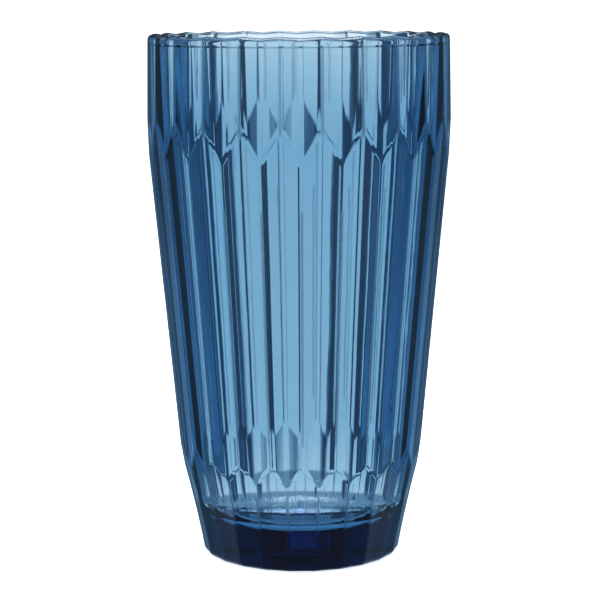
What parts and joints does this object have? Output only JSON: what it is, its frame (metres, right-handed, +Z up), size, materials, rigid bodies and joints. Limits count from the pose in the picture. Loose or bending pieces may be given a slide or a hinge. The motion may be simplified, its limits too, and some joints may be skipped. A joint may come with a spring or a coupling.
{
  "type": "glass vase",
  "caption": "Wide-mouthed fluted vase of blue pressed glass, with a collar of hollow panels, a tapering body and a heavy stepped-in base.",
  "frame": {"origin": "on the vase's axis, in the plane that it stands on", "axes": "+Z up along the axis, out of the mouth; -Y is the side that faces the viewer, and one ridge of the body faces it"},
  "size_m": [0.0862, 0.0862, 0.15],
  "materials": {
    "blue_glass": "clear blue pressed glass, fire-polished"
  },
  "bodies": {
    "root": {"vase_body": "blue_glass"}
  },
  "joints": []
}
